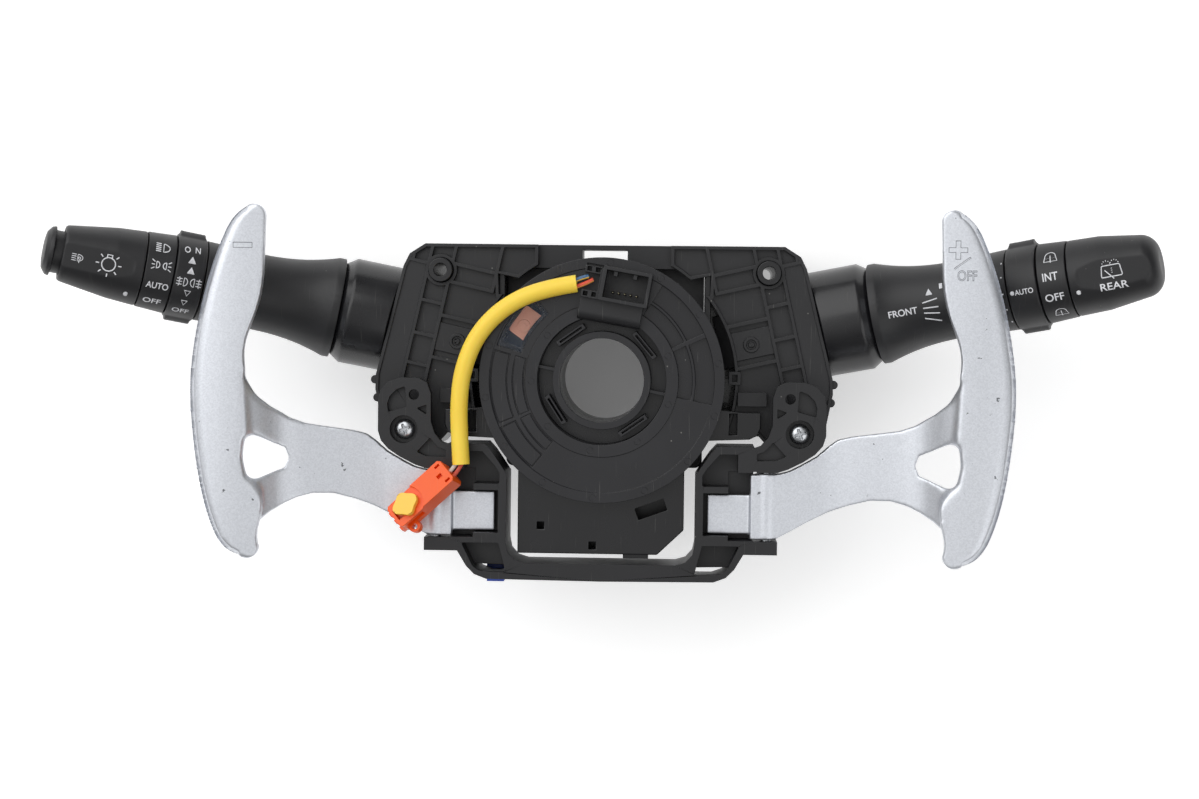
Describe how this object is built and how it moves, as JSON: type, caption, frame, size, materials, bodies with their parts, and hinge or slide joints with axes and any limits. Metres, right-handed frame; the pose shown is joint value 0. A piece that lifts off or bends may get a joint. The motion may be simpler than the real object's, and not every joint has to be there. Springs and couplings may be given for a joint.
{
  "type": "steering column combination switch",
  "caption": "Steering column stalk switch: light and wiper stalks, clock spring with airbag lead, U-shaped bracket and silver shift paddles.",
  "frame": {"origin": "on the steering shaft's axis, at the rear face that the column collar starts from", "axes": "+Z along the steering shaft towards the driver, +X to the right stalk as the driver sees it, +Y up"},
  "size_m": [0.4378, 0.1493, 0.088],
  "materials": {
    "frame_plastic": "moulded satin black",
    "gloss_plastic": "moulded half-gloss black",
    "stalk_plastic": "fine-grained black",
    "inner_plastic": "natural",
    "paddle_metal": "satin silver paint",
    "zinc_steel": "zinc plated",
    "contact_metal": "bright",
    "board": "lacquered",
    "ribbon": "copper coloured",
    "clear_window": "clear",
    "yellow_sleeve": "smooth vinyl",
    "wire": "insulated",
    "orange_plastic": "moulded",
    "yellow_plastic": "moulded",
    "blue_plastic": "moulded"
  },
  "bodies": {
    "base": {"column_frame": "frame_plastic", "sensor_housing": "frame_plastic", "case_terminals": "contact_metal", "clock_spring_case": "gloss_plastic", "flat_cable_outer": "ribbon", "paddle_bracket": "frame_plastic", "bracket_screws": "zinc_steel", "paddle_plug": "blue_plastic", "left_switch_box": "frame_plastic", "right_switch_box": "frame_plastic", "left_harness_socket": "frame_plastic", "right_harness_socket": "frame_plastic", "left_contact_board": "board", "right_contact_board": "board", "left_switch_cover": "frame_plastic", "right_switch_cover": "frame_plastic", "left_hinge_pin": "zinc_steel", "right_hinge_pin": "zinc_steel", "left_return_spring": "zinc_steel", "right_return_spring": "zinc_steel", "left_paddle_switch": "frame_plastic", "right_paddle_switch": "frame_plastic"},
    "rotor": {"clock_spring_rotor": "gloss_plastic", "indicator_window": "clear_window", "cancel_cam": "gloss_plastic", "flat_cable_inner": "ribbon", "connector_tower": "gloss_plastic", "tower_pins": "contact_metal", "harness_sleeve": "yellow_sleeve", "harness_wires": "wire", "squib_plug": "orange_plastic"},
    "plug_lock": {"squib_lock": "yellow_plastic"},
    "carrier": {"roller_carrier": "gloss_plastic", "indicator_roller": "ribbon", "carrier_rollers": "gloss_plastic"},
    "angle_gear_a": {"sensor_gear_a": "gloss_plastic"},
    "angle_gear_b": {"sensor_gear_b": "gloss_plastic"},
    "left_swing": {"left_swing_block": "inner_plastic", "left_detent_plunger": "inner_plastic"},
    "left_stalk": {"left_lever_core": "inner_plastic", "left_lever_neck": "stalk_plastic", "left_scale_ring": "stalk_plastic"},
    "fog_switch": {"fog_ring": "stalk_plastic"},
    "light_switch": {"light_knob": "stalk_plastic"},
    "stalk_button": {"end_button": "stalk_plastic", "end_button_spring": "zinc_steel"},
    "right_swing": {"right_swing_block": "inner_plastic", "right_detent_plunger": "inner_plastic"},
    "right_stalk": {"right_lever_core": "inner_plastic", "right_lever_neck": "stalk_plastic", "right_scale_ring": "stalk_plastic"},
    "interval_switch": {"interval_ring": "stalk_plastic"},
    "rear_switch": {"rear_knob": "stalk_plastic"},
    "left_paddle_body": {"left_paddle": "paddle_metal"},
    "right_paddle_body": {"right_paddle": "paddle_metal"},
    "left_plunger_body": {"left_switch_plunger": "inner_plastic"},
    "right_plunger_body": {"right_switch_plunger": "inner_plastic"}
  },
  "joints": [
    {"name": "rotor_turn", "type": "hinge", "parent": "base", "child": "rotor", "pos_m": [0, 0, 0.06], "axis": [0, 0, 1], "range_deg": [-900, 900]},
    {"name": "carrier_turn", "type": "hinge", "parent": "base", "child": "carrier", "pos_m": [0, 0, 0.05], "axis": [0, 0, 1], "range_deg": [-452, 452]},
    {"name": "gear_a_spin", "type": "hinge", "parent": "base", "child": "angle_gear_a", "pos_m": [0.01467, -0.02759, 0.042], "axis": [0, 0, 1], "range_deg": [-2592, 2592]},
    {"name": "gear_b_spin", "type": "hinge", "parent": "base", "child": "angle_gear_b", "pos_m": [-0.0142, -0.02671, 0.042], "axis": [0, 0, 1], "range_deg": [-2962, 2962]},
    {"name": "plug_lock_slide", "type": "slide", "parent": "rotor", "child": "plug_lock", "axis": [-0.7361, -0.6769, 0], "range_m": [0, 0.003]},
    {"name": "turn_signal_swing", "type": "hinge", "parent": "base", "child": "left_swing", "pos_m": [-0.062, 0.0178, 0.029], "axis": [-0.204, 0.0404, -0.9781], "range_deg": [-8, 8]},
    {"name": "beam_tilt", "type": "hinge", "parent": "left_swing", "child": "left_stalk", "pos_m": [-0.062, 0.0178, 0.029], "axis": [0.1942, 0.981, 0], "range_deg": [-5, 5]},
    {"name": "fog_ring_turn", "type": "hinge", "parent": "left_stalk", "child": "fog_switch", "pos_m": [-0.12053, 0.02939, 0.04168], "axis": [-0.9218, 0.1825, 0.342], "range_deg": [-15, 15], "stiffness_Nm_per_rad": 0.12},
    {"name": "light_knob_turn", "type": "hinge", "parent": "left_stalk", "child": "light_switch", "pos_m": [-0.12053, 0.02939, 0.04168], "axis": [-0.9218, 0.1825, 0.342], "range_deg": [0, 60]},
    {"name": "end_button_push", "type": "slide", "parent": "light_switch", "child": "stalk_button", "axis": [0.9218, -0.1825, -0.342], "range_m": [0, 0.003], "stiffness_N_per_m": 800},
    {"name": "wiper_swing", "type": "hinge", "parent": "base", "child": "right_swing", "pos_m": [0.062, 0.0178, 0.029], "axis": [-0.204, -0.0404, 0.9781], "range_deg": [-11, 6]},
    {"name": "washer_pull", "type": "hinge", "parent": "right_swing", "child": "right_stalk", "pos_m": [0.062, 0.0178, 0.029], "axis": [0.1942, -0.981, 0], "range_deg": [0, 5], "stiffness_Nm_per_rad": 3, "springref_deg": -2.86},
    {"name": "interval_ring_turn", "type": "hinge", "parent": "right_stalk", "child": "interval_switch", "pos_m": [0.12053, 0.02939, 0.04168], "axis": [0.9218, 0.1825, 0.342], "range_deg": [-30, 30]},
    {"name": "rear_knob_turn", "type": "hinge", "parent": "right_stalk", "child": "rear_switch", "pos_m": [0.12053, 0.02939, 0.04168], "axis": [0.9218, 0.1825, 0.342], "range_deg": [-20, 60]},
    {"name": "left_paddle_pull", "type": "hinge", "parent": "base", "child": "left_paddle_body", "pos_m": [-0.065, -0.049, 0.064], "axis": [0, 1, 0], "range_deg": [0, 3.5], "stiffness_Nm_per_rad": 4, "springref_deg": -1.72},
    {"name": "right_paddle_pull", "type": "hinge", "parent": "base", "child": "right_paddle_body", "pos_m": [0.065, -0.049, 0.064], "axis": [0, -1, 0], "range_deg": [0, 3.5], "stiffness_Nm_per_rad": 4, "springref_deg": -1.72},
    {"name": "left_plunger_press", "type": "slide", "parent": "base", "child": "left_plunger_body", "axis": [0, 0, -1], "range_m": [0, 0.001]},
    {"name": "right_plunger_press", "type": "slide", "parent": "base", "child": "right_plunger_body", "axis": [0, 0, -1], "range_m": [0, 0.001]}
  ],
  "couplings": [
    {"joint": "carrier_turn", "follows": "rotor_turn", "ratio": 0.5},
    {"joint": "gear_a_spin", "follows": "rotor_turn", "ratio": -2.875},
    {"joint": "gear_b_spin", "follows": "rotor_turn", "ratio": -3.2857},
    {"joint": "left_plunger_press", "follows": "left_paddle_pull", "m_per_rad": 0.0145},
    {"joint": "right_plunger_press", "follows": "right_paddle_pull", "m_per_rad": 0.0145}
  ]
}
